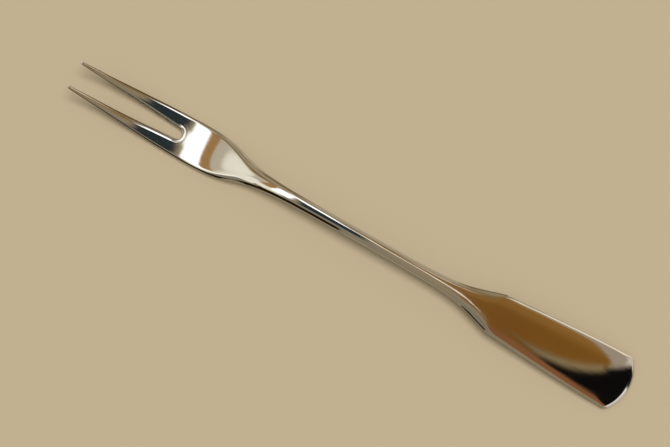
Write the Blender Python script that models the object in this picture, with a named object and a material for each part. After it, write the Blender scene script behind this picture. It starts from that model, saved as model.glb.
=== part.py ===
"""Two-tined meat fork, one forged and polished piece of stainless steel.

Frame: +X from the tine tips to the end of the handle, +Z up, the fork lying face up.
Origin at the bottom centre of the box around it. Lengths below are in millimetres.
"""

import bmesh
import bpy
import numpy as np

for old in list(bpy.data.objects):
    bpy.data.objects.remove(old, do_unlink=True)

MM = 0.001
LENGTH = 192.0
TIP_X = -LENGTH / 2  # points of the tines
END_X = LENGTH / 2  # end of the handle

# half width of the outline, from the outer side of the tines to the corners of the handle's end
OUTLINE = (
    (-96.0, 4.50), (-94.0, 4.66), (-90.6, 4.87), (-86.0, 5.10), (-81.2, 5.43), (-76.7, 5.74),
    (-73.0, 5.97), (-68.0, 6.28), (-62.5, 6.52), (-59.0, 6.63), (-54.4, 6.72), (-51.5, 6.68),
    (-49.6, 6.58), (-45.8, 6.24), (-43.0, 5.70), (-40.0, 4.86), (-37.0, 3.90), (-34.0, 3.18),
    (-31.0, 2.70), (-27.5, 2.36), (-22.8, 2.08), (-15.0, 1.91), (-8.0, 1.86), (0.0, 1.82),
    (9.0, 1.81), (18.0, 1.86), (27.0, 2.04), (32.7, 2.36), (37.5, 2.98), (41.1, 3.82),
    (44.2, 4.72), (47.2, 5.64), (48.6, 6.08), (49.8, 6.40), (51.6, 6.62), (55.3, 6.87),
    (62.5, 7.36), (74.6, 8.14), (86.0, 8.72), (90.0, 8.86), (93.0, 8.93),
)
# half width of the slot between the tines, up to its round end
SLOT = (
    (-96.0, 3.82), (-94.0, 3.60), (-90.6, 3.41), (-86.0, 3.20), (-81.2, 3.00), (-76.7, 2.76), (-73.0, 2.52),
    (-68.0, 2.12), (-64.5, 1.87), (-61.0, 1.64),
)
SLOT_ROOT_X, SLOT_ROOT_R = -61.0, 1.64  # centre and radius of the slot's round end
POLE_R = 3.50  # radius about the same centre at which the round rim meets the straight flow of the head

# downward slope of the upper face towards the handle, in degrees
FALL = (
    (-96.0, 15.0), (-84.0, 11.0), (-71.0, 6.4), (-64.0, 2.9), (-57.3, -1.0), (-53.5, -3.2), (-50.5, -5.2),
    (-47.8, -7.4), (-43.0, -9.9), (-38.0, -10.8), (-33.5, -10.0), (-29.4, -8.2), (-26.0, -6.6), (-22.5, -5.2),
    (-18.8, -3.9), (-11.0, -2.1), (-4.0, -0.8), (4.0, 0.4), (12.0, 1.3), (25.0, 2.3), (40.0, 2.6), (55.0, 2.6),
    (70.0, 3.3), (81.0, 5.3), (87.5, 7.8), (92.0, 10.5), (96.0, 13.0),
)
THICKNESS = (
    (-96.0, 0.80), (-92.0, 1.10), (-84.0, 1.55), (-72.0, 2.05), (-58.0, 2.40), (-48.0, 2.60),
    (-40.0, 2.95), (-32.0, 3.25), (-24.0, 3.40), (0.0, 3.30), (25.0, 3.15), (38.0, 2.90),
    (50.0, 2.60), (62.0, 2.40), (80.0, 2.15), (90.0, 1.95), (96.0, 1.75),
)
# rounding of the upper edge: how far it reaches in from the outline ...
EDGE_IN = (
    (-96.0, 0.30), (-90.0, 0.50), (-84.0, 0.62), (-76.0, 0.72), (-66.0, 0.78), (-54.0, 0.80), (-48.0, 0.98), (-44.0, 1.40),
    (-41.0, 1.74), (-38.0, 2.06), (-35.0, 2.24), (-32.0, 2.20), (-28.0, 1.92), (-24.0, 1.74), (-20.0, 1.66),
    (25.0, 1.62), (34.0, 1.74), (41.0, 1.80), (44.2, 1.70),
    (47.2, 1.38), (49.6, 1.06), (52.0, 0.90), (60.0, 0.80), (96.0, 0.76),
)
# ... and how far down it goes
EDGE_DOWN = (
    (-96.0, 0.35), (-90.0, 0.55), (-84.0, 0.75), (-74.0, 1.05), (-66.0, 1.25), (-50.0, 1.35), (-43.0, 1.60),
    (-36.0, 1.90), (-28.0, 2.08), (25.0, 2.00), (36.0, 1.70), (44.0, 1.25), (50.0, 0.92), (56.0, 0.76), (96.0, 0.62),
)
SLOT_EDGE_IN = 1.20  # the slot's upper edge is rounded wider than the outer one
# rounding of the lower edge, smaller than the upper one
UNDER_IN = ((-96.0, 0.26), (-84.0, 0.55), (-66.0, 0.75), (-30.0, 0.90), (25.0, 0.90), (45.0, 0.80), (56.0, 0.62), (96.0, 0.58))
UNDER_DOWN = ((-96.0, 0.20), (-84.0, 0.36), (-66.0, 0.58), (-30.0, 0.66), (25.0, 0.66), (45.0, 0.60), (56.0, 0.54), (96.0, 0.46))
# fall of the upper face from its middle to the start of the edge rounding, and how late across the width it comes
CROWN = (
    (-96.0, 0.01), (-66.0, 0.06), (-56.0, 0.10), (-46.0, 0.12), (-40.0, 0.10), (-34.0, 0.05), (-28.0, 0.01), (28.0, 0.01),
    (36.0, 0.05), (44.0, 0.20), (56.0, 0.34), (96.0, 0.34),
)
CROWN_POWER = ((-96.0, 2.0), (-60.0, 2.2), (-40.0, 2.2), (-25.0, 2.0), (30.0, 2.0), (46.0, 2.1), (96.0, 2.0))

# end of the handle: a shallow arc between two rounded corners
END_ARC_R, END_CORNER_R = 12.9, 1.75
PAD = (56.0, 76.0)  # stretch of the handle's back that is left flat

FLAT_SHARES = (0.0, 0.23, 0.44, 0.62, 0.77, 0.89, 1.0)  # columns across the upper face, out to the edge rounding
ROUND_SHARES = (0.0, 0.13, 0.26, 0.39, 0.52, 0.64, 0.75)  # the same columns on the shank, out to the outline
ROUND_IN = (0.145, 0.05)  # and the two columns outside them, in from the outline
ROUND = ((-46.0, 0.0), (-41.0, 0.05), (-28.0, 1.0), (30.0, 1.0), (43.0, 0.05), (48.0, 0.0))  # where the section is the shank's
TINE_SHARES = (0.0, 0.17, 0.36, 0.58, 0.80, 1.0)  # columns across one tine, between its two edge roundings
# points on a rounding, as shares of how far it reaches in and down: a third and two thirds of a quarter turn
TURNS = tuple((1 - np.sin(t), 1 - np.cos(t)) for t in np.radians((30.0, 60.0)))

TINE_X = (-62.4, -65.2, -68.2, -71.4, -74.6, -77.8, -81.0, -84.0, -86.8, -89.4, -91.6, -93.4, -94.7, -95.5)
BODY_X = (
    -47.0, -44.6, -42.2, -39.8, -37.4, -35.0, -32.6, -30.2, -27.8, -25.4, -22.4, -18.6, -14.0, -8.0, -1.0, 7.0, 15.0,
    22.0, 27.0, 31.0, 34.2, 36.8, 39.0, 41.0, 42.9, 44.6, 46.2, 47.6, 48.8, 50.0, 51.6, 53.6, 56.0, 61.0, 66.0, 71.0,
    76.0, 80.0, 83.4, 86.4, 89.1, 91.5, 93.5,
)


def curve(table):
    """A smooth curve through the table's points that doesn't overshoot between them."""
    x, y = np.array(table, float).T
    h, step = np.diff(x), np.diff(y) / np.diff(x)
    slope = np.empty_like(y)
    slope[0], slope[-1] = step[0], step[-1]
    for i in range(1, len(x) - 1):
        a, b = step[i - 1], step[i]
        w1, w2 = 2 * h[i] + h[i - 1], h[i] + 2 * h[i - 1]
        slope[i] = 0.0 if a * b <= 0 else (w1 + w2) / (w1 / a + w2 / b)

    def at(v):
        v = np.clip(v, x[0], x[-1])
        i = np.clip(np.searchsorted(x, v, side="right") - 1, 0, len(h) - 1)
        t = (v - x[i]) / h[i]
        return (
            (1 + 2 * t) * (1 - t) ** 2 * y[i]
            + t * (1 - t) ** 2 * h[i] * slope[i]
            + t * t * (3 - 2 * t) * y[i + 1]
            + t * t * (t - 1) * h[i] * slope[i + 1]
        )

    return at


half_width, slot_half = curve(OUTLINE), curve(SLOT)
thickness, edge_in, edge_down = curve(THICKNESS), curve(EDGE_IN), curve(EDGE_DOWN)
under_in, under_down = curve(UNDER_IN), curve(UNDER_DOWN)
crown, crown_power, roundness = curve(CROWN), curve(CROWN_POWER), curve(ROUND)

# height of the upper face along the middle, added up from its slope, then levelled so that head and handle end both rest
grid = np.linspace(TIP_X, END_X, 3841)
fall = np.tan(np.radians(curve(FALL)(grid)))
height = -np.concatenate(([0.0], np.cumsum((fall[1:] + fall[:-1]) / 2 * np.diff(grid))))
for _ in range(20):
    under = height - thickness(grid)
    head, tail = grid < -20, grid > 40
    a, b = np.argmin(np.where(head, under, 1e9)), np.argmin(np.where(tail, under, 1e9))
    height = height - under[a] - (under[b] - under[a]) * (grid - grid[a]) / (grid[b] - grid[a])


def ridge(x):
    return np.interp(x, grid, height)


def back(x):
    """Height of the lower face, straight along the flat stretch of the handle."""
    low = ridge(x) - thickness(x)
    if PAD[0] < x < PAD[1]:
        ends = [ridge(p) - thickness(p) for p in PAD]
        low = ends[0] + (ends[1] - ends[0]) * (x - PAD[0]) / (PAD[1] - PAD[0])
    return low


def face_top(x, y):
    return ridge(x) - crown(x) * min(1.2, abs(y) / max(0.5, half_width(x) - edge_in(x))) ** crown_power(x)


def end_arc(y):
    return END_X - END_ARC_R + np.sqrt(END_ARC_R**2 - y * y)


bm = bmesh.new()


def put(x, y, z):
    return bm.verts.new((x * MM, y * MM, z * MM))


def upper(x, y, drop=0.0):
    return put(x, y, face_top(x, y) - drop)


def lower(x, y, lift=0.0):
    return put(x, y, back(x) + lift)


def skin(first, second, closed=False):
    """Quads between two chains of the same length."""
    n = len(first)
    for i in range(n if closed else n - 1):
        j = (i + 1) % n
        bm.faces.new((first[i], first[j], second[j], second[i]))


def wall_pair(x, y):
    """The two points of the upright side between its upper and lower rounding, at an outline point."""
    top = face_top(x, y) - edge_down(x)
    low = back(x) + under_down(x)
    if top - low < 0.16:
        mid = (top + low) / 2
        top, low = mid + 0.08, mid - 0.08
    return put(x, y, top), put(x, y, low)


def row_chain(xs, ys, rim, turns_in=None, low_ys=None):
    """Half section, from the middle of the upper face round the outer edge to the middle of the lower face.

    xs, ys: plan positions of the columns; rim: plan position and inward normal of the outline; turns_in: how far in
    from the outline the two columns on the edge rounding lie; low_ys: the columns below, where they differ.
    """
    rx, ry, nx, ny = rim
    a, b = edge_in(rx), edge_down(rx)

    def drop(inward):
        return b * (1 - np.sqrt(1 - np.clip(1 - inward / a, 0, 1) ** 2))

    if turns_in is None:
        turns_in = [a * i for i, _ in TURNS]
    top = [upper(x, y, drop(abs(ny) * (half_width(rx) - y)) if low_ys is not None else 0.0) for x, y in zip(xs, ys)]
    top += [upper(rx + nx * i, ry + ny * i, drop(i)) for i in turns_in]
    side = list(wall_pair(rx, ry))
    a2, b2 = under_in(rx), under_down(rx)
    low = [lower(rx + nx * a2 * i, ry + ny * a2 * i, b2 * d) for i, d in TURNS[::-1]]
    low.append(lower(rx + nx * a2, ry + ny * a2))
    low += [lower(x, y) for x, y in list(zip(xs, ys if low_ys is None else low_ys))[-2::-1]]
    return top, side, low


def rim_at(x):
    """Outline point at x with its inward normal in plan."""
    slope = (half_width(x + 0.05) - half_width(x - 0.05)) / 0.1
    n = np.hypot(1.0, slope)
    return x, half_width(x), slope / n, -1 / n


# --- head rows, bending round the slot's end -------------------------------------------------------------------------
angles = np.radians((0.0, 30.0, 60.0, 90.0))
pole = np.stack((SLOT_ROOT_X + POLE_R * np.cos(angles), POLE_R * np.sin(angles)), 1)
root_rim = rim_at(SLOT_ROOT_X)
flat_out = half_width(SLOT_ROOT_X) - edge_in(SLOT_ROOT_X)
first_x = np.concatenate((pole[:, 0], [SLOT_ROOT_X] * 3))
first_y = np.concatenate((pole[:, 1], POLE_R + np.array((0.36, 0.70, 1.0)) * (flat_out - POLE_R)))

HEAD_ROWS = 5
rows = []
for i in range(HEAD_ROWS):
    t = i / HEAD_ROWS
    xs = first_x + t * (BODY_X[0] - first_x)
    x_out = xs[-1]
    flat = half_width(x_out) - edge_in(x_out)
    shares = (1 - t) * first_y / flat_out + t * np.array(FLAT_SHARES)
    rows.append(row_chain(xs, shares * flat, rim_at(x_out)))

# --- neck, shank and handle ------------------------------------------------------------------------------------------
for x in BODY_X:
    bow = np.clip((x - 78.0) / (92.0 - 78.0), 0, 1) ** 2
    rim = rim_at(x - bow * 3.4)
    half, inward, share = half_width(rim[0]), edge_in(rim[0]), roundness(x)
    ys = (1 - share) * np.array(FLAT_SHARES) * (half - inward) + share * np.array(ROUND_SHARES) * half
    low_ys = np.array(FLAT_SHARES) * (half - max(under_in(rim[0]), (1 - share) * inward))
    turns_in = [(1 - share) * inward * i + share * half * r for (i, _), r in zip(TURNS, ROUND_IN)]
    xs = x + bow * (end_arc(ys) - END_X)
    rows.append(row_chain(xs, ys, rim, turns_in, low_ys))

for first, second in zip(rows, rows[1:]):
    skin(sum(first, []), sum(second, []))

# --- end of the handle: the rim turns the corner and runs along the end arc --------------------------------------------
corner_y = half_width(93.0) - END_CORNER_R
reach = END_ARC_R - END_CORNER_R
corner_x = END_X - END_ARC_R + np.sqrt(reach**2 - corner_y**2)  # centre of the corner rounding
turn = np.arctan2(corner_y, corner_x - (END_X - END_ARC_R))  # where the arc takes over, from +X


def corner_rim(share):
    """Outline point and inward normal on the corner: share 0 at the long side, 1 at the end arc."""
    angle = np.pi / 2 + share * (turn - np.pi / 2)
    nx, ny = np.cos(angle), np.sin(angle)
    return corner_x + END_CORNER_R * nx, corner_y + END_CORNER_R * ny, -nx, -ny


def arc_rim(y):
    angle = np.arcsin(y / END_ARC_R)
    return END_X - END_ARC_R + END_ARC_R * np.cos(angle), y, -np.cos(angle), -np.sin(angle)


def inset(rim, d):
    return rim[0] + rim[2] * d, rim[1] + rim[3] * d


a_end, b_end = edge_in(END_X), edge_down(END_X)
start, stop, corner = corner_rim(0.0), corner_rim(1.0), corner_rim(0.5)
ends = [arc_rim(share * stop[1]) for share in FLAT_SHARES[:-1]] + [stop]
# the last full row lies where the edge rounding of the end starts
flat_xy = [inset(r, a_end) for r in ends[:-1]] + [inset(corner, a_end * 1.2)]
last = row_chain([p[0] for p in flat_xy], [p[1] for p in flat_xy], start)
skin(sum(rows[-1], []), sum(last, []))

# upright side, from the long edge round the corner to the middle of the end
around = [last[1]] + [wall_pair(*corner_rim(s)[:2]) for s in (0.18, 0.35, 0.50, 0.65, 0.82)] + [wall_pair(*r[:2]) for r in ends[::-1]]
for first, second in zip(around, around[1:]):
    skin(first, second)


def turn_end(row, rim_points, place, reach, depth):
    """The rounding along the end, above or below: row is the last full row, from the middle out."""
    (i1, d1), (i2, d2) = TURNS
    one = [place(*inset(r, reach * i1), depth * d1) for r in ends]
    one += [place(*inset(corner, reach * i1), depth * d1), place(*inset(corner_rim(0.22), reach * i2), depth * d2)]
    two = [place(*inset(r, reach * i2), depth * d2) for r in ends]
    two += [place(*inset(corner_rim(0.78), reach * i2), depth * d2), place(*inset(corner, reach * i2), depth * d2)]
    skin(row, one)
    skin(one, two)
    inner = [row[-1], one[-1], two[-1], two[-1], two[-1]] + two[-2::-1]
    for k in range(len(rim_points) - 1):
        if k == 2:  # the corner itself is one quad on three rim points
            bm.faces.new((inner[2], rim_points[2], rim_points[3], rim_points[4]))
        elif k != 3:
            bm.faces.new((inner[k], rim_points[k], rim_points[k + 1], inner[k + 1]))


turn_end(last[0], [w[0] for w in around], upper, a_end, b_end)
turn_end(last[2][::-1], [w[1] for w in around], lower, under_in(END_X), under_down(END_X))

# --- round end of the slot -------------------------------------------------------------------------------------------
a_in, b_in = SLOT_EDGE_IN, edge_down(SLOT_ROOT_X)


def polar(radius, angle):
    return SLOT_ROOT_X + radius * np.cos(angle), radius * np.sin(angle)


def slot_chain(angle, pole_top, pole_low):
    """From the pole ring of the upper face over the rim and down the slot's wall to the pole ring of the lower face."""
    middle = SLOT_ROOT_R + a_in + 0.45 * (POLE_R - SLOT_ROOT_R - a_in)
    a2, b2 = under_in(SLOT_ROOT_X), under_down(SLOT_ROOT_X)
    chain = [pole_top, upper(*polar(middle, angle)), upper(*polar(SLOT_ROOT_R + a_in, angle))]
    chain += [upper(*polar(SLOT_ROOT_R + a_in * i, angle), b_in * d) for i, d in TURNS]
    chain += list(wall_pair(*polar(SLOT_ROOT_R, angle)))
    chain += [lower(*polar(SLOT_ROOT_R + a2 * i, angle), b2 * d) for i, d in TURNS[::-1]]
    chain += [lower(*polar(SLOT_ROOT_R + a2, angle)), lower(*polar(middle, angle)), pole_low]
    return chain


head_top, head_side, head_low = rows[0]
chains = [slot_chain(angles[q], head_top[q], head_low[len(head_low) - 1 - q]) for q in range(4)]
for first, second in zip(chains, chains[1:]):
    skin(first, second)

# --- one tine --------------------------------------------------------------------------------------------------------
# its first ring: outer part shared with the head's first row, inner part with the slot's rim
root = chains[3]
ring = root[5::-1] + head_top[4:] + head_side + head_low[: len(head_low) - 4] + root[:5:-1]
ring = list(dict.fromkeys(ring))


def tine_ring(x, size=1.0):
    """Closed section of the tine, in the order of the first ring; size below 1 draws it in to the point."""
    inner, outer = slot_half(x), half_width(x)
    mid = (inner + outer) / 2
    most = 0.42 * (outer - inner)
    a, b, a_slot, a2 = min(edge_in(x), most), edge_down(x), min(SLOT_EDGE_IN, most), min(under_in(x), most)
    b2 = under_down(x)
    top, low = ridge(x), ridge(x) - thickness(x)
    flats = [inner + a_slot + s * (outer - inner - a - a_slot) for s in TINE_SHARES]
    under = [inner + a2] + flats[1:-1] + [outer - a2]
    wall_low = low + b2
    wall_in, wall_out = face_top(x, inner) - b, face_top(x, outer) - b
    points = [(inner, max(wall_in, wall_low + 0.1))]
    points += [(inner + a_slot * i, face_top(x, inner + a_slot * i) - b * d) for i, d in TURNS[::-1]]
    points += [(y, face_top(x, y)) for y in flats]
    points += [(outer - a * i, face_top(x, outer - a * i) - b * d) for i, d in TURNS]
    points += [(outer, max(wall_out, wall_low + 0.1)), (outer, wall_low)]
    points += [(outer - a2 * i, low + b2 * d) for i, d in TURNS[::-1]]
    points += [(y, low) for y in under[::-1]]
    points += [(inner + a2 * i, low + b2 * d) for i, d in TURNS] + [(inner, wall_low)]
    c = (top + low) / 2
    return [put(x, mid + (y - mid) * size, c + (z - c) * size) for y, z in points]


previous = ring
for x in TINE_X:
    following = tine_ring(x)
    skin(previous, following, closed=True)
    previous = following
point = tine_ring(TIP_X, 0.42)
skin(previous, point, closed=True)
bm.faces.new(point)

# stand it on the floor
floor = min(v.co.z for v in bm.verts)
bmesh.ops.translate(bm, verts=bm.verts, vec=(0.0, 0.0, -floor))
bmesh.ops.recalc_face_normals(bm, faces=bm.faces)
mesh = bpy.data.meshes.new("fork")
bm.to_mesh(mesh)
bm.free()

fork = bpy.data.objects.new("fork", mesh)
bpy.context.collection.objects.link(fork)
mirror = fork.modifiers.new("other_half", "MIRROR")
mirror.use_axis = (False, True, False)
mirror.use_clip = True
mirror.merge_threshold = 0.00002

steel = bpy.data.materials.new("polished_steel")
steel.use_nodes = True
shader = steel.node_tree.nodes["Principled BSDF"]
shader.inputs["Base Color"].default_value = (0.74, 0.73, 0.71, 1.0)
shader.inputs["Metallic"].default_value = 1.0
shader.inputs["Roughness"].default_value = 0.12
mesh.materials.append(steel)
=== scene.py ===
"""Looks of the meat fork: a fine, smooth mesh in place of the faceted one, polished steel, pale floor, soft light and
painted reflections for the steel.
"""

import math

import bmesh
import bpy
import numpy as np
from mathutils import Matrix, Vector


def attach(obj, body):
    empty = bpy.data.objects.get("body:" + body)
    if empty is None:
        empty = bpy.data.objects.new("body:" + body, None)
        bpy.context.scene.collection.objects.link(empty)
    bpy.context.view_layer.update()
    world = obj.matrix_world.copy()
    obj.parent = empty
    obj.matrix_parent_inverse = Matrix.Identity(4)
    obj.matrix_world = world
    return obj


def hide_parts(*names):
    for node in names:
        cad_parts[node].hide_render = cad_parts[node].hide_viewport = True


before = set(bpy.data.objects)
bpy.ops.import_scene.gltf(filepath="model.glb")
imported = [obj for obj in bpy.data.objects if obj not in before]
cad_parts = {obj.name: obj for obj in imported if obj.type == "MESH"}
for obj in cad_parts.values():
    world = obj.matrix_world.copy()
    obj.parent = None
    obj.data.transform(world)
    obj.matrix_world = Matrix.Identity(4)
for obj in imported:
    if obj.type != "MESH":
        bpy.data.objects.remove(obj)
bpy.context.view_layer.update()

# --- shape: the same driving sizes as the CAD part, in millimetres -----------------------------------------------------
MM = 0.001
LENGTH = 192.0
TIP_X = -LENGTH / 2  # points of the tines
END_X = LENGTH / 2  # end of the handle

# half width of the outline, from the outer side of the tines to the corners of the handle's end
OUTLINE = (
    (-96.0, 4.50), (-94.0, 4.66), (-90.6, 4.87), (-86.0, 5.10), (-81.2, 5.43), (-76.7, 5.74),
    (-73.0, 5.97), (-68.0, 6.28), (-62.5, 6.52), (-59.0, 6.63), (-54.4, 6.72), (-51.5, 6.68),
    (-49.6, 6.58), (-45.8, 6.24), (-43.0, 5.70), (-40.0, 4.86), (-37.0, 3.90), (-34.0, 3.18),
    (-31.0, 2.70), (-27.5, 2.36), (-22.8, 2.08), (-15.0, 1.91), (-8.0, 1.86), (0.0, 1.82),
    (9.0, 1.81), (18.0, 1.86), (27.0, 2.04), (32.7, 2.36), (37.5, 2.98), (41.1, 3.82),
    (44.2, 4.72), (47.2, 5.64), (48.6, 6.08), (49.8, 6.40), (51.6, 6.62), (55.3, 6.87),
    (62.5, 7.36), (74.6, 8.14), (86.0, 8.72), (90.0, 8.86), (93.0, 8.93),
)
# half width of the slot between the tines, up to its round end
SLOT = (
    (-96.0, 3.82), (-94.0, 3.60), (-90.6, 3.41), (-86.0, 3.20), (-81.2, 3.00), (-76.7, 2.76), (-73.0, 2.52),
    (-68.0, 2.12), (-64.5, 1.87), (-61.0, 1.64),
)
SLOT_ROOT_X, SLOT_ROOT_R = -61.0, 1.64  # centre and radius of the slot's round end
POLE_R = 3.50  # radius about the same centre at which the round rim meets the straight flow of the head

# downward slope of the upper face towards the handle, in degrees
FALL = (
    (-96.0, 15.0), (-84.0, 11.0), (-71.0, 6.4), (-64.0, 2.9), (-57.3, -1.0), (-53.5, -3.2), (-50.5, -5.2),
    (-47.8, -7.4), (-43.0, -9.9), (-38.0, -10.8), (-33.5, -10.0), (-29.4, -8.2), (-26.0, -6.6), (-22.5, -5.2),
    (-18.8, -3.9), (-11.0, -2.1), (-4.0, -0.8), (4.0, 0.4), (12.0, 1.3), (25.0, 2.3), (40.0, 2.6), (55.0, 2.6),
    (70.0, 3.3), (81.0, 5.3), (87.5, 7.8), (92.0, 10.5), (96.0, 13.0),
)
THICKNESS = (
    (-96.0, 0.80), (-92.0, 1.10), (-84.0, 1.55), (-72.0, 2.05), (-58.0, 2.40), (-48.0, 2.60),
    (-40.0, 2.95), (-32.0, 3.25), (-24.0, 3.40), (0.0, 3.30), (25.0, 3.15), (38.0, 2.90),
    (50.0, 2.60), (62.0, 2.40), (80.0, 2.15), (90.0, 1.95), (96.0, 1.75),
)
# rounding of the upper edge: how far it reaches in from the outline ...
EDGE_IN = (
    (-96.0, 0.30), (-90.0, 0.50), (-84.0, 0.62), (-76.0, 0.72), (-66.0, 0.78), (-54.0, 0.80), (-48.0, 0.98), (-44.0, 1.40),
    (-41.0, 1.74), (-38.0, 2.06), (-35.0, 2.24), (-32.0, 2.20), (-28.0, 1.92), (-24.0, 1.74), (-20.0, 1.66),
    (25.0, 1.62), (34.0, 1.74), (41.0, 1.80), (44.2, 1.70),
    (47.2, 1.38), (49.6, 1.06), (52.0, 0.90), (60.0, 0.80), (96.0, 0.76),
)
# ... and how far down it goes
EDGE_DOWN = (
    (-96.0, 0.35), (-90.0, 0.55), (-84.0, 0.75), (-74.0, 1.05), (-66.0, 1.25), (-50.0, 1.35), (-43.0, 1.60),
    (-36.0, 1.90), (-28.0, 2.08), (25.0, 2.00), (36.0, 1.70), (44.0, 1.25), (50.0, 0.92), (56.0, 0.76), (96.0, 0.62),
)
SLOT_EDGE_IN = 1.20  # the slot's upper edge is rounded wider than the outer one
# rounding of the lower edge, smaller than the upper one
UNDER_IN = ((-96.0, 0.26), (-84.0, 0.55), (-66.0, 0.75), (-30.0, 0.90), (25.0, 0.90), (45.0, 0.80), (56.0, 0.62), (96.0, 0.58))
UNDER_DOWN = ((-96.0, 0.20), (-84.0, 0.36), (-66.0, 0.58), (-30.0, 0.66), (25.0, 0.66), (45.0, 0.60), (56.0, 0.54), (96.0, 0.46))
# fall of the upper face from its middle to the start of the edge rounding, and how late across the width it comes
CROWN = (
    (-96.0, 0.01), (-66.0, 0.06), (-56.0, 0.10), (-46.0, 0.12), (-40.0, 0.10), (-34.0, 0.05), (-28.0, 0.01), (28.0, 0.01),
    (36.0, 0.05), (44.0, 0.20), (56.0, 0.34), (96.0, 0.34),
)
CROWN_POWER = ((-96.0, 2.0), (-60.0, 2.2), (-40.0, 2.2), (-25.0, 2.0), (30.0, 2.0), (46.0, 2.1), (96.0, 2.0))

# end of the handle: a shallow arc between two rounded corners
END_ARC_R, END_CORNER_R = 12.9, 1.75
PAD = (56.0, 76.0)  # stretch of the handle's back that is left flat

FLAT_SHARES = (0.0, 0.23, 0.44, 0.62, 0.77, 0.89, 1.0)  # columns across the upper face, out to the edge rounding
ROUND_SHARES = (0.0, 0.13, 0.26, 0.39, 0.52, 0.64, 0.75)  # the same columns on the shank, out to the outline
ROUND_IN = (0.145, 0.05)  # and the two columns outside them, in from the outline
ROUND = ((-46.0, 0.0), (-41.0, 0.05), (-28.0, 1.0), (30.0, 1.0), (43.0, 0.05), (48.0, 0.0))  # where the section is the shank's
TINE_SHARES = (0.0, 0.17, 0.36, 0.58, 0.80, 1.0)  # columns across one tine, between its two edge roundings
# points on a rounding, as shares of how far it reaches in and down: a third and two thirds of a quarter turn
TURNS = tuple((1 - np.sin(t), 1 - np.cos(t)) for t in np.radians((30.0, 60.0)))

TINE_X = (-62.4, -65.2, -68.2, -71.4, -74.6, -77.8, -81.0, -84.0, -86.8, -89.4, -91.6, -93.4, -94.7, -95.5)
BODY_X = (
    -47.0, -44.6, -42.2, -39.8, -37.4, -35.0, -32.6, -30.2, -27.8, -25.4, -22.4, -18.6, -14.0, -8.0, -1.0, 7.0, 15.0,
    22.0, 27.0, 31.0, 34.2, 36.8, 39.0, 41.0, 42.9, 44.6, 46.2, 47.6, 48.8, 50.0, 51.6, 53.6, 56.0, 61.0, 66.0, 71.0,
    76.0, 80.0, 83.4, 86.4, 89.1, 91.5, 93.5,
)


def curve(table):
    """A smooth curve through the table's points that doesn't overshoot between them."""
    x, y = np.array(table, float).T
    h, step = np.diff(x), np.diff(y) / np.diff(x)
    slope = np.empty_like(y)
    slope[0], slope[-1] = step[0], step[-1]
    for i in range(1, len(x) - 1):
        a, b = step[i - 1], step[i]
        w1, w2 = 2 * h[i] + h[i - 1], h[i] + 2 * h[i - 1]
        slope[i] = 0.0 if a * b <= 0 else (w1 + w2) / (w1 / a + w2 / b)

    def at(v):
        v = np.clip(v, x[0], x[-1])
        i = np.clip(np.searchsorted(x, v, side="right") - 1, 0, len(h) - 1)
        t = (v - x[i]) / h[i]
        return (
            (1 + 2 * t) * (1 - t) ** 2 * y[i]
            + t * (1 - t) ** 2 * h[i] * slope[i]
            + t * t * (3 - 2 * t) * y[i + 1]
            + t * t * (t - 1) * h[i] * slope[i + 1]
        )

    return at


half_width, slot_half = curve(OUTLINE), curve(SLOT)
thickness, edge_in, edge_down = curve(THICKNESS), curve(EDGE_IN), curve(EDGE_DOWN)
under_in, under_down = curve(UNDER_IN), curve(UNDER_DOWN)
crown, crown_power, roundness = curve(CROWN), curve(CROWN_POWER), curve(ROUND)

# height of the upper face along the middle, added up from its slope, then levelled so that head and handle end both rest
grid = np.linspace(TIP_X, END_X, 3841)
fall = np.tan(np.radians(curve(FALL)(grid)))
height = -np.concatenate(([0.0], np.cumsum((fall[1:] + fall[:-1]) / 2 * np.diff(grid))))
for _ in range(20):
    under = height - thickness(grid)
    head, tail = grid < -20, grid > 40
    a, b = np.argmin(np.where(head, under, 1e9)), np.argmin(np.where(tail, under, 1e9))
    height = height - under[a] - (under[b] - under[a]) * (grid - grid[a]) / (grid[b] - grid[a])


def ridge(x):
    return np.interp(x, grid, height)


def back(x):
    """Height of the lower face, straight along the flat stretch of the handle."""
    low = ridge(x) - thickness(x)
    if PAD[0] < x < PAD[1]:
        ends = [ridge(p) - thickness(p) for p in PAD]
        low = ends[0] + (ends[1] - ends[0]) * (x - PAD[0]) / (PAD[1] - PAD[0])
    return low


def face_top(x, y):
    return ridge(x) - crown(x) * min(1.2, abs(y) / max(0.5, half_width(x) - edge_in(x))) ** crown_power(x)


def end_arc(y):
    return END_X - END_ARC_R + np.sqrt(END_ARC_R**2 - y * y)


bm = bmesh.new()


def put(x, y, z):
    return bm.verts.new((x * MM, y * MM, z * MM))


def upper(x, y, drop=0.0):
    return put(x, y, face_top(x, y) - drop)


def lower(x, y, lift=0.0):
    return put(x, y, back(x) + lift)


def skin(first, second, closed=False):
    """Quads between two chains of the same length."""
    n = len(first)
    for i in range(n if closed else n - 1):
        j = (i + 1) % n
        bm.faces.new((first[i], first[j], second[j], second[i]))


def wall_pair(x, y):
    """The two points of the upright side between its upper and lower rounding, at an outline point."""
    top = face_top(x, y) - edge_down(x)
    low = back(x) + under_down(x)
    if top - low < 0.16:
        mid = (top + low) / 2
        top, low = mid + 0.08, mid - 0.08
    return put(x, y, top), put(x, y, low)


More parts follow.
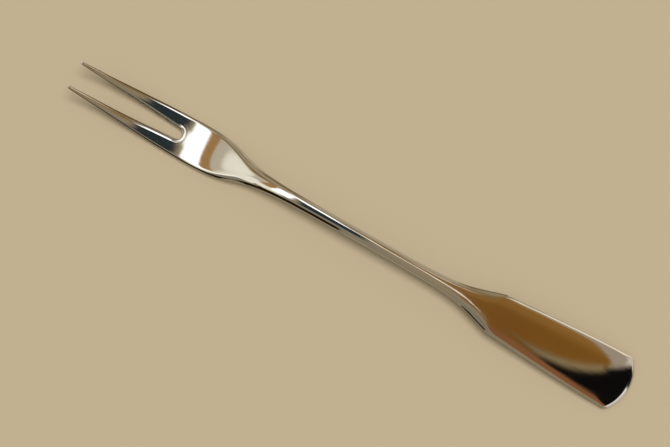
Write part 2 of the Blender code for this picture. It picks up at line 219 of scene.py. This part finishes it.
def row_chain(xs, ys, rim, turns_in=None, low_ys=None):
    """Half section, from the middle of the upper face round the outer edge to the middle of the lower face.

    xs, ys: plan positions of the columns; rim: plan position and inward normal of the outline; turns_in: how far in
    from the outline the two columns on the edge rounding lie; low_ys: the columns below, where they differ.
    """
    rx, ry, nx, ny = rim
    a, b = edge_in(rx), edge_down(rx)

    def drop(inward):
        return b * (1 - np.sqrt(1 - np.clip(1 - inward / a, 0, 1) ** 2))

    if turns_in is None:
        turns_in = [a * i for i, _ in TURNS]
    top = [upper(x, y, drop(abs(ny) * (half_width(rx) - y)) if low_ys is not None else 0.0) for x, y in zip(xs, ys)]
    top += [upper(rx + nx * i, ry + ny * i, drop(i)) for i in turns_in]
    side = list(wall_pair(rx, ry))
    a2, b2 = under_in(rx), under_down(rx)
    low = [lower(rx + nx * a2 * i, ry + ny * a2 * i, b2 * d) for i, d in TURNS[::-1]]
    low.append(lower(rx + nx * a2, ry + ny * a2))
    low += [lower(x, y) for x, y in list(zip(xs, ys if low_ys is None else low_ys))[-2::-1]]
    return top, side, low


def rim_at(x):
    """Outline point at x with its inward normal in plan."""
    slope = (half_width(x + 0.05) - half_width(x - 0.05)) / 0.1
    n = np.hypot(1.0, slope)
    return x, half_width(x), slope / n, -1 / n


# --- head rows, bending round the slot's end -------------------------------------------------------------------------
angles = np.radians((0.0, 30.0, 60.0, 90.0))
pole = np.stack((SLOT_ROOT_X + POLE_R * np.cos(angles), POLE_R * np.sin(angles)), 1)
root_rim = rim_at(SLOT_ROOT_X)
flat_out = half_width(SLOT_ROOT_X) - edge_in(SLOT_ROOT_X)
first_x = np.concatenate((pole[:, 0], [SLOT_ROOT_X] * 3))
first_y = np.concatenate((pole[:, 1], POLE_R + np.array((0.36, 0.70, 1.0)) * (flat_out - POLE_R)))

HEAD_ROWS = 5
rows = []
for i in range(HEAD_ROWS):
    t = i / HEAD_ROWS
    xs = first_x + t * (BODY_X[0] - first_x)
    x_out = xs[-1]
    flat = half_width(x_out) - edge_in(x_out)
    shares = (1 - t) * first_y / flat_out + t * np.array(FLAT_SHARES)
    rows.append(row_chain(xs, shares * flat, rim_at(x_out)))

# --- neck, shank and handle ------------------------------------------------------------------------------------------
for x in BODY_X:
    bow = np.clip((x - 78.0) / (92.0 - 78.0), 0, 1) ** 2
    rim = rim_at(x - bow * 3.4)
    half, inward, share = half_width(rim[0]), edge_in(rim[0]), roundness(x)
    ys = (1 - share) * np.array(FLAT_SHARES) * (half - inward) + share * np.array(ROUND_SHARES) * half
    low_ys = np.array(FLAT_SHARES) * (half - max(under_in(rim[0]), (1 - share) * inward))
    turns_in = [(1 - share) * inward * i + share * half * r for (i, _), r in zip(TURNS, ROUND_IN)]
    xs = x + bow * (end_arc(ys) - END_X)
    rows.append(row_chain(xs, ys, rim, turns_in, low_ys))

for first, second in zip(rows, rows[1:]):
    skin(sum(first, []), sum(second, []))

# --- end of the handle: the rim turns the corner and runs along the end arc --------------------------------------------
corner_y = half_width(93.0) - END_CORNER_R
reach = END_ARC_R - END_CORNER_R
corner_x = END_X - END_ARC_R + np.sqrt(reach**2 - corner_y**2)  # centre of the corner rounding
turn = np.arctan2(corner_y, corner_x - (END_X - END_ARC_R))  # where the arc takes over, from +X


def corner_rim(share):
    """Outline point and inward normal on the corner: share 0 at the long side, 1 at the end arc."""
    angle = np.pi / 2 + share * (turn - np.pi / 2)
    nx, ny = np.cos(angle), np.sin(angle)
    return corner_x + END_CORNER_R * nx, corner_y + END_CORNER_R * ny, -nx, -ny


def arc_rim(y):
    angle = np.arcsin(y / END_ARC_R)
    return END_X - END_ARC_R + END_ARC_R * np.cos(angle), y, -np.cos(angle), -np.sin(angle)


def inset(rim, d):
    return rim[0] + rim[2] * d, rim[1] + rim[3] * d


a_end, b_end = edge_in(END_X), edge_down(END_X)
start, stop, corner = corner_rim(0.0), corner_rim(1.0), corner_rim(0.5)
ends = [arc_rim(share * stop[1]) for share in FLAT_SHARES[:-1]] + [stop]
# the last full row lies where the edge rounding of the end starts
flat_xy = [inset(r, a_end) for r in ends[:-1]] + [inset(corner, a_end * 1.2)]
last = row_chain([p[0] for p in flat_xy], [p[1] for p in flat_xy], start)
skin(sum(rows[-1], []), sum(last, []))

# upright side, from the long edge round the corner to the middle of the end
around = [last[1]] + [wall_pair(*corner_rim(s)[:2]) for s in (0.18, 0.35, 0.50, 0.65, 0.82)] + [wall_pair(*r[:2]) for r in ends[::-1]]
for first, second in zip(around, around[1:]):
    skin(first, second)


def turn_end(row, rim_points, place, reach, depth):
    """The rounding along the end, above or below: row is the last full row, from the middle out."""
    (i1, d1), (i2, d2) = TURNS
    one = [place(*inset(r, reach * i1), depth * d1) for r in ends]
    one += [place(*inset(corner, reach * i1), depth * d1), place(*inset(corner_rim(0.22), reach * i2), depth * d2)]
    two = [place(*inset(r, reach * i2), depth * d2) for r in ends]
    two += [place(*inset(corner_rim(0.78), reach * i2), depth * d2), place(*inset(corner, reach * i2), depth * d2)]
    skin(row, one)
    skin(one, two)
    inner = [row[-1], one[-1], two[-1], two[-1], two[-1]] + two[-2::-1]
    for k in range(len(rim_points) - 1):
        if k == 2:  # the corner itself is one quad on three rim points
            bm.faces.new((inner[2], rim_points[2], rim_points[3], rim_points[4]))
        elif k != 3:
            bm.faces.new((inner[k], rim_points[k], rim_points[k + 1], inner[k + 1]))


turn_end(last[0], [w[0] for w in around], upper, a_end, b_end)
turn_end(last[2][::-1], [w[1] for w in around], lower, under_in(END_X), under_down(END_X))

# --- round end of the slot -------------------------------------------------------------------------------------------
a_in, b_in = SLOT_EDGE_IN, edge_down(SLOT_ROOT_X)


def polar(radius, angle):
    return SLOT_ROOT_X + radius * np.cos(angle), radius * np.sin(angle)


def slot_chain(angle, pole_top, pole_low):
    """From the pole ring of the upper face over the rim and down the slot's wall to the pole ring of the lower face."""
    middle = SLOT_ROOT_R + a_in + 0.45 * (POLE_R - SLOT_ROOT_R - a_in)
    a2, b2 = under_in(SLOT_ROOT_X), under_down(SLOT_ROOT_X)
    chain = [pole_top, upper(*polar(middle, angle)), upper(*polar(SLOT_ROOT_R + a_in, angle))]
    chain += [upper(*polar(SLOT_ROOT_R + a_in * i, angle), b_in * d) for i, d in TURNS]
    chain += list(wall_pair(*polar(SLOT_ROOT_R, angle)))
    chain += [lower(*polar(SLOT_ROOT_R + a2 * i, angle), b2 * d) for i, d in TURNS[::-1]]
    chain += [lower(*polar(SLOT_ROOT_R + a2, angle)), lower(*polar(middle, angle)), pole_low]
    return chain


head_top, head_side, head_low = rows[0]
chains = [slot_chain(angles[q], head_top[q], head_low[len(head_low) - 1 - q]) for q in range(4)]
for first, second in zip(chains, chains[1:]):
    skin(first, second)

# --- one tine --------------------------------------------------------------------------------------------------------
# its first ring: outer part shared with the head's first row, inner part with the slot's rim
root = chains[3]
ring = root[5::-1] + head_top[4:] + head_side + head_low[: len(head_low) - 4] + root[:5:-1]
ring = list(dict.fromkeys(ring))


def tine_ring(x, size=1.0):
    """Closed section of the tine, in the order of the first ring; size below 1 draws it in to the point."""
    inner, outer = slot_half(x), half_width(x)
    mid = (inner + outer) / 2
    most = 0.42 * (outer - inner)
    a, b, a_slot, a2 = min(edge_in(x), most), edge_down(x), min(SLOT_EDGE_IN, most), min(under_in(x), most)
    b2 = under_down(x)
    top, low = ridge(x), ridge(x) - thickness(x)
    flats = [inner + a_slot + s * (outer - inner - a - a_slot) for s in TINE_SHARES]
    under = [inner + a2] + flats[1:-1] + [outer - a2]
    wall_low = low + b2
    wall_in, wall_out = face_top(x, inner) - b, face_top(x, outer) - b
    points = [(inner, max(wall_in, wall_low + 0.1))]
    points += [(inner + a_slot * i, face_top(x, inner + a_slot * i) - b * d) for i, d in TURNS[::-1]]
    points += [(y, face_top(x, y)) for y in flats]
    points += [(outer - a * i, face_top(x, outer - a * i) - b * d) for i, d in TURNS]
    points += [(outer, max(wall_out, wall_low + 0.1)), (outer, wall_low)]
    points += [(outer - a2 * i, low + b2 * d) for i, d in TURNS[::-1]]
    points += [(y, low) for y in under[::-1]]
    points += [(inner + a2 * i, low + b2 * d) for i, d in TURNS] + [(inner, wall_low)]
    c = (top + low) / 2
    return [put(x, mid + (y - mid) * size, c + (z - c) * size) for y, z in points]


previous = ring
for x in TINE_X:
    following = tine_ring(x)
    skin(previous, following, closed=True)
    previous = following
point = tine_ring(TIP_X, 0.42)
skin(previous, point, closed=True)
bm.faces.new(point)


# both halves: copy the finished half across the middle plane and join the seam
bmesh.ops.recalc_face_normals(bm, faces=bm.faces)
half = bmesh.ops.duplicate(bm, geom=bm.verts[:] + bm.edges[:] + bm.faces[:])["geom"]
other = [v for v in half if isinstance(v, bmesh.types.BMVert)]
bmesh.ops.scale(bm, vec=(1, -1, 1), verts=other)
bmesh.ops.reverse_faces(bm, faces=[f for f in half if isinstance(f, bmesh.types.BMFace)])
bmesh.ops.remove_doubles(bm, verts=[v for v in bm.verts if abs(v.co.y) < 2e-5], dist=1e-6)
bmesh.ops.recalc_face_normals(bm, faces=bm.faces)
bm.verts.ensure_lookup_table()
bm.verts.index_update()

# the subdivision surface of these points would cut the corners, so the cage's sides are moved outwards until the smooth
# surface has their outline; the upper and lower faces are left as they are, which keeps them free of ripples
bm.normal_update()
side = np.clip((0.90 - np.abs([v.normal.z for v in bm.verts])) / 0.15, 0, 1)[:, None]
target = np.array([v.co[:] for v in bm.verts])
target[:, 2] -= target[:, 2].min()
n_edge = np.array([len(v.link_edges) for v in bm.verts], float)
ends_a, ends_b, corner_a, corner_b = [], [], [], []
for e in bm.edges:
    ends_a.append(e.verts[0].index)
    ends_b.append(e.verts[1].index)
for f in bm.faces:
    ids = [v.index for v in f.verts]
    n = len(ids)
    for k in range(n):
        for step in range(2, n - 1):
            corner_a.append(ids[k])
            corner_b.append(ids[(k + step) % n])
ends_a, ends_b = np.array(ends_a), np.array(ends_b)
corner_a, corner_b = np.array(corner_a), np.array(corner_b)


def limit_of(points):
    """Where each cage point's spot on the smooth surface lies."""
    near, wide, count = np.zeros_like(points), np.zeros_like(points), np.zeros(len(points))
    np.add.at(near, ends_a, points[ends_b])
    np.add.at(near, ends_b, points[ends_a])
    np.add.at(wide, corner_a, points[corner_b])
    np.add.at(count, corner_a, 1.0)
    n = n_edge[:, None]
    wide = wide / np.maximum(count, 1)[:, None] * n
    return (n * n * points + 4 * near + wide) / (n * (n + 5))


cage = target.copy()
for _ in range(30):
    cage[:, :2] += 0.9 * side * (target - limit_of(cage))[:, :2]
for v, p in zip(bm.verts, cage):
    v.co = p
for f in bm.faces:
    f.smooth = True
cage_mesh = bpy.data.meshes.new("fork_cage")
bm.to_mesh(cage_mesh)
bm.free()
cage_object = bpy.data.objects.new("fork_cage", cage_mesh)
bpy.context.collection.objects.link(cage_object)
smooth = cage_object.modifiers.new("smooth", "SUBSURF")
smooth.levels = smooth.render_levels = 2
smooth.use_limit_surface = True
graph = bpy.context.evaluated_depsgraph_get()
mesh = bpy.data.meshes.new_from_object(cage_object.evaluated_get(graph))
mesh.name = "fork_visual"
bpy.data.objects.remove(cage_object, do_unlink=True)
for polygon in mesh.polygons:
    polygon.use_smooth = True
fork = bpy.data.objects.new("fork_visual", mesh)
bpy.context.collection.objects.link(fork)
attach(fork, "root")
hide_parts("fork")


def linear(r, g, b):
    """Screen colour (0 to 255) as light."""
    return tuple((c / 255 / 12.92) if c <= 10 else ((c / 255 + 0.055) / 1.055) ** 2.4 for c in (r, g, b))


# --- material: polished stainless steel with fine wear -----------------------------------------------------------------
steel = bpy.data.materials.new("polished_steel_worn")
steel.use_nodes = True
tree = steel.node_tree
bsdf = tree.nodes["Principled BSDF"]
bsdf.inputs["Metallic"].default_value = 1.0


def node(kind, **values):
    made = tree.nodes.new(kind)
    for key, value in values.items():
        setattr(made, key, value)
    return made


def noise(scale, detail, rough, stretch):
    """Noise in the fork's own frame, drawn out along its length."""
    coords = node("ShaderNodeTexCoord")
    place = node("ShaderNodeMapping")
    place.inputs["Scale"].default_value = stretch
    tree.links.new(coords.outputs["Object"], place.inputs["Vector"])
    made = node("ShaderNodeTexNoise")
    made.inputs["Scale"].default_value = scale
    made.inputs["Detail"].default_value = detail
    made.inputs["Roughness"].default_value = rough
    tree.links.new(place.outputs["Vector"], made.inputs["Vector"])
    return made.outputs["Fac"]


def remap(value, low, high, to_low, to_high):
    made = node("ShaderNodeMapRange")
    for key, v in zip(("From Min", "From Max", "To Min", "To Max"), (low, high, to_low, to_high)):
        made.inputs[key].default_value = v
    tree.links.new(value, made.inputs["Value"])
    return made.outputs["Result"]


def math_of(kind, a, b):
    made = node("ShaderNodeMath", operation=kind)
    for socket, v in zip(made.inputs, (a, b)):
        if isinstance(v, (int, float)):
            socket.default_value = v
        else:
            tree.links.new(v, socket)
    return made.outputs["Value"]


streaks = noise(900.0, 3.0, 0.55, (0.05, 1.0, 1.0))  # polishing lines along the fork
clouds = noise(60.0, 4.0, 0.5, (0.5, 1.0, 1.0))  # faint film left by wiping
pores = noise(2600.0, 2.0, 0.5, (1.0, 1.0, 1.0))
rough = math_of("ADD", remap(streaks, 0.35, 0.75, 0.0, 0.03), remap(clouds, 0.45, 0.75, 0.035, 0.06))
tree.links.new(rough, bsdf.inputs["Roughness"])
tint = node("ShaderNodeMix", data_type="RGBA")
tint.inputs[6].default_value = (0.78, 0.765, 0.74, 1.0)
tint.inputs[7].default_value = (0.70, 0.68, 0.645, 1.0)
tree.links.new(remap(clouds, 0.4, 0.8, 0.0, 1.0), tint.inputs["Factor"])
tree.links.new(tint.outputs[2], bsdf.inputs["Base Color"])
bump = node("ShaderNodeBump")
bump.inputs["Strength"].default_value = 0.02
bump.inputs["Distance"].default_value = 0.0002
tree.links.new(math_of("ADD", streaks, math_of("MULTIPLY", pores, 0.3)), bump.inputs["Height"])
tree.links.new(bump.outputs["Normal"], bsdf.inputs["Normal"])
mesh.materials.clear()
mesh.materials.append(steel)

# --- floor -------------------------------------------------------------------------------------------------------------
floor_mesh = bpy.data.meshes.new("floor")
floor_mesh.from_pydata([(-30, -30, 0), (30, -30, 0), (30, 30, 0), (-30, 30, 0)], [], [(0, 1, 2, 3)])
floor = bpy.data.objects.new("floor", floor_mesh)
bpy.context.collection.objects.link(floor)
floor_mat = bpy.data.materials.new("pale_floor")
floor_mat.use_nodes = True
floor_bsdf = floor_mat.node_tree.nodes["Principled BSDF"]
floor_bsdf.inputs["Base Color"].default_value = (0.52, 0.435, 0.300, 1.0)
floor_bsdf.inputs["Roughness"].default_value = 0.9
floor_bsdf.inputs["Specular IOR Level"].default_value = 0.1
floor_mesh.materials.append(floor_mat)
# the steel doesn't reflect the floor; a painted reflection in the world's colours stands in for it
floor.visible_glossy = False

# --- camera: from above, the fork lying on a slant across the picture ----------------------------------------------------
AZIMUTH, TILT, DISTANCE, FIELD = 29.5, 2.8, 0.70, 0.2013
TARGET = Vector((-0.00565, -0.0004, 0.006))
az, tilt = math.radians(AZIMUTH), math.radians(TILT)
right = Vector((math.cos(az), math.sin(az), 0.0))
up = Vector((-math.sin(az), math.cos(az), 0.0))
away = (-up * math.sin(tilt) + Vector((0, 0, 1)) * math.cos(tilt)).normalized()
cam_data = bpy.data.cameras.new("camera")
cam_data.sensor_width = 36.0
cam_data.lens = 36.0 * DISTANCE / FIELD
cam_data.clip_start, cam_data.clip_end = 0.01, 100.0
cam = bpy.data.objects.new("camera", cam_data)
basis = Matrix((right, away.cross(right), away)).transposed().to_4x4()
basis.translation = TARGET + away * DISTANCE
cam.matrix_world = basis
bpy.context.collection.objects.link(cam)
bpy.context.scene.camera = cam

# --- light: a soft sun for the floor, and painted reflections: glowing panels overhead and around that only the steel sees ---
sun_data = bpy.data.lights.new("soft_sun", "SUN")
sun_data.energy = 2.0
sun_data.angle = math.radians(30)
sun_data.color = (1.0, 0.98, 0.95)
sun = bpy.data.objects.new("soft_sun", sun_data)
sun.rotation_euler = Vector((0.04, 0.26, 1.0)).to_track_quat("Z", "Y").to_euler()
sun.visible_glossy = False
bpy.context.collection.objects.link(sun)

STEEL = (0.76, 0.745, 0.72)  # mean reflectance of the steel


def seen(r, g, b):
    """Light that shows as this screen colour once the steel has reflected it."""
    return tuple(c / k for c, k in zip(linear(r, g, b), STEEL))


def panel(under, colour, x, y, half_x, half_y, turn=0.0, soft=0.012, amount=1.0):
    """A soft-edged panel laid over what is behind it: centre, half sizes and edge softness."""
    c, s = math.cos(math.radians(turn)), math.sin(math.radians(turn))
    px, py = math_of("SUBTRACT", east, x), math_of("SUBTRACT", north, y)
    along = math_of("ADD", math_of("MULTIPLY", px, c), math_of("MULTIPLY", py, s))
    across = math_of("SUBTRACT", math_of("MULTIPLY", py, c), math_of("MULTIPLY", px, s))
    out = math_of("MAXIMUM", math_of("SUBTRACT", math_of("ABSOLUTE", along, 0.0), half_x), math_of("SUBTRACT", math_of("ABSOLUTE", across, 0.0), half_y))
    ramp = node("ShaderNodeMapRange", interpolation_type="SMOOTHSTEP")
    for key, v in zip(("From Min", "From Max", "To Min", "To Max"), (-soft, soft, amount, 0.0)):
        ramp.inputs[key].default_value = v
    tree.links.new(out, ramp.inputs["Value"])
    mix = node("ShaderNodeMix", data_type="RGBA")
    tree.links.new(ramp.outputs["Result"], mix.inputs["Factor"])
    if isinstance(under, tuple):
        mix.inputs[6].default_value = (*under, 1.0)
    else:
        tree.links.new(under, mix.inputs[6])
    mix.inputs[7].default_value = (*colour, 1.0)
    return mix.outputs[2]


# painted reflections: coloured panels on one big glowing sheet that only reflections see and that lights nothing;
# places in metres
SHEET_Z, SHEET_HALF = 0.60, 2.5
sheet_mesh = bpy.data.meshes.new("overhead")
sheet_mesh.from_pydata([(-SHEET_HALF, -SHEET_HALF, SHEET_Z), (-SHEET_HALF, SHEET_HALF, SHEET_Z), (SHEET_HALF, SHEET_HALF, SHEET_Z), (SHEET_HALF, -SHEET_HALF, SHEET_Z)], [], [(0, 1, 2, 3)])
sheet = bpy.data.objects.new("overhead", sheet_mesh)
bpy.context.collection.objects.link(sheet)
sheet.visible_camera = sheet.visible_diffuse = sheet.visible_shadow = False
sheet_mat = bpy.data.materials.new("painted_reflection_panels")
sheet_mat.use_nodes = True
tree = sheet_mat.node_tree
tree.nodes.remove(tree.nodes["Principled BSDF"])
coords = node("ShaderNodeTexCoord")
split = node("ShaderNodeSeparateXYZ")
tree.links.new(coords.outputs["Object"], split.inputs["Vector"])
east, north = split.outputs["X"], split.outputs["Y"]

look = seen(136, 121, 95)  # beige
look = panel(look, seen(122, 115, 100), -0.10, -0.95, 0.16, 0.70, 0, 0.050)  # grey towards -Y
look = panel(look, seen(222, 215, 195), -0.45, -0.03, 0.170, 0.32, 0, 0.030)  # cream, towards the tips
look = panel(look, seen(222, 215, 195), -0.265, -0.505, 0.080, 0.455, -3, 0.012)
look = panel(look, seen(147, 131, 102), -0.42, 1.00, 0.27, 0.87, 0, 0.012)  # tan beyond it
look = panel(look, seen(108, 90, 60), -0.24, 0.29, 0.085, 0.090, 0, 0.030)  # browner near it
look = panel(look, seen(122, 96, 58), 0.070, 0.46, 0.075, 0.36, 0, 0.040)  # brown
look = panel(look, (1.3, 1.28, 1.22), -1.30, 0.28, 0.92, 0.62, 0, 0.040)  # white further out
look = panel(look, (1.6, 1.6, 1.6), -0.174, -0.025, 0.037, 0.275, -2, 0.007)  # white
look = panel(look, seen(174, 163, 141), -0.264, 0.060, 0.026, 0.092, -4, 0.007)  # grey beside it
look = panel(look, seen(147, 112, 67), -0.220, 0.05, 0.024, 0.17, -9, 0.007)  # brown strip
look = panel(look, (1.6, 1.6, 1.6), -0.085, 0.33, 0.056, 0.19, 10, 0.014)  # white towards +Y
look = panel(look, seen(38, 45, 46), -0.053, -0.12, 0.064, 0.26, 0, 0.013)  # dark overhead
look = panel(look, seen(114, 75, 27), 0.219, 0.10, 0.105, 0.20, 0, 0.013)  # brown
look = panel(look, seen(132, 93, 42), 0.219, 0.22, 0.105, 0.115, 0, 0.040)  # lighter towards +Y
look = panel(look, seen(148, 132, 114), 0.308, 0.226, 0.150, 0.106, -30, 0.009)  # grey beyond its corner
look = panel(look, seen(225, 208, 184), 0.70, 1.25, 0.55, 0.92, -4, 0.060)  # cream for the +Y edge
look = panel(look, seen(192, 181, 165), 0.550, 0.215, 0.165, 0.055, 14, 0.022)  # pale beyond it
look = panel(look, seen(9, 8, 8), 0.401, -0.0445, 0.207, 0.1255, 31.5, 0.017)  # black
look = panel(look, seen(132, 112, 78), 0.240, -0.002, 0.087, 0.0125, 36.5, 0.019)  # olive edge
look = panel(look, seen(122, 80, 49), 0.275, -0.2255, 0.160, 0.150, 2, 0.008)  # red-brown
look = panel(look, seen(9, 8, 8), 0.424, -0.090, 0.075, 0.040, -37, 0.010)  # black over its corner
look = panel(look, seen(30, 27, 25), 0.700, 0.105, 0.200, 0.085, 14, 0.015)  # dark at the end
look = panel(look, seen(222, 216, 205), 0.68, -0.16, 0.180, 0.19, 0, 0.014)  # white low towards the handle's end
glow = node("ShaderNodeEmission")
tree.links.new(look, glow.inputs["Color"])
tree.links.new(glow.outputs["Emission"], tree.nodes["Material Output"].inputs["Surface"])
sheet_mat.cycles.emission_sampling = "NONE"
sheet_mesh.materials.append(sheet_mat)

# painted reflections on cards that only reflections see: a dark one beside the neck, a brown one beside the tines and a
# light strip close above the shank that paints a highlight line along it
def card(name, points, faces, colour):
    mesh = bpy.data.meshes.new(name)
    mesh.from_pydata(points, [], faces)
    ob = bpy.data.objects.new(name, mesh)
    bpy.context.collection.objects.link(ob)
    ob.visible_camera = ob.visible_diffuse = ob.visible_shadow = False
    mat = bpy.data.materials.new(name)
    mat.use_nodes = True
    shader = mat.node_tree
    shader.nodes.remove(shader.nodes["Principled BSDF"])
    light = shader.nodes.new("ShaderNodeEmission")
    light.inputs["Color"].default_value = (*colour, 1.0)
    shader.links.new(light.outputs["Emission"], shader.nodes["Material Output"].inputs["Surface"])
    mat.cycles.emission_sampling = "NONE"
    mesh.materials.append(mat)


card("dark_card", [(-0.26, -0.30, -0.50), (-0.011, -0.30, -0.50), (-0.011, -0.30, 0.092), (-0.26, -0.30, 0.092)], [(0, 1, 2, 3)], seen(30, 20, 5))
card("brown_card", [(-0.105, 0.045, -0.05), (-0.066, 0.045, -0.05), (-0.066, 0.045, 0.026), (-0.105, 0.045, 0.026)], [(0, 1, 2, 3)], seen(78, 57, 27))
STRIP_Z = 0.15
STRIP = ((0.002, 0.090, 0.009), (0.013, 0.042, 0.008), (0.028, 0.020, 0.006), (0.041, 0.013, 0.004), (0.054, 0.003, 0.003), (0.0595, -0.009, 0.0014), (0.0630, -0.018, 0.0003))  # place and half width
card("light_strip", [(x + side * 0.8 * half, y + side * 0.6 * half, STRIP_Z) for x, y, half in STRIP for side in (-1, 1)], [(2 * i, 2 * i + 1, 2 * i + 3, 2 * i + 2) for i in range(len(STRIP) - 1)], seen(235, 220, 196))

# painted reflections of the room further down, for glossy rays only, in degrees from overhead: towards the handle's
# end, and towards +Y
world = bpy.data.worlds.new("studio")
bpy.context.scene.world = world
world.use_nodes = True
tree = world.node_tree
background = tree.nodes["Background"]
coords = node("ShaderNodeTexCoord")
split = node("ShaderNodeSeparateXYZ")
tree.links.new(coords.outputs["Generated"], split.inputs["Vector"])
dx, dy, dz = (split.outputs[k] for k in "XYZ")
flat = math_of("MAXIMUM", math_of("SQRT", math_of("ADD", math_of("MULTIPLY", dx, dx), math_of("MULTIPLY", dy, dy)), 0.0), 1e-5)
angle = math_of("MULTIPLY", math_of("ARCCOSINE", dz, 0.0), 180 / math.pi)
east = math_of("MULTIPLY", math_of("DIVIDE", dx, flat), angle)
north = math_of("MULTIPLY", math_of("DIVIDE", dy, flat), angle)
look = seen(158, 146, 120)  # beige, a painted reflection of the floor, which the steel doesn't see
look = panel(look, seen(205, 186, 162), 52, 84, 44, 14, 0, 3.0)  # cream towards +Y
look = panel(look, seen(112, 96, 68), -24, 105, 16.5, 40, 0, 1.5)  # brown low beside the tines
look = panel(look, seen(128, 115, 92), 20, -110, 40, 45, 0, 4.0)  # grey-tan towards -Y: painted reflection of the floor in the fork's shadow
look = panel(look, seen(20, 14, 6), -60, -88, 20, 26, 0, 2.5)  # dark low towards -Y
look = panel(look, seen(222, 216, 205), 75, -28, 25, 27, 0, 5.0)  # white low towards the handle's end
tree.links.new(look, background.inputs["Color"])
background.inputs["Strength"].default_value = 1.0
even = node("ShaderNodeBackground")
even.inputs["Color"].default_value = (0.42, 0.40, 0.36, 1.0)
plain = node("ShaderNodeBackground")
plain.inputs["Color"].default_value = (*linear(214, 200, 176), 1.0)
path = node("ShaderNodeLightPath")
choose = node("ShaderNodeMixShader")
tree.links.new(path.outputs["Is Glossy Ray"], choose.inputs["Fac"])
tree.links.new(even.outputs["Background"], choose.inputs[1])
tree.links.new(background.outputs["Background"], choose.inputs[2])
choose_seen = node("ShaderNodeMixShader")
tree.links.new(path.outputs["Is Camera Ray"], choose_seen.inputs["Fac"])
tree.links.new(choose.outputs["Shader"], choose_seen.inputs[1])
tree.links.new(plain.outputs["Background"], choose_seen.inputs[2])
tree.links.new(choose_seen.outputs["Shader"], tree.nodes["World Output"].inputs["Surface"])
bpy.context.scene.view_settings.view_transform = "Standard"
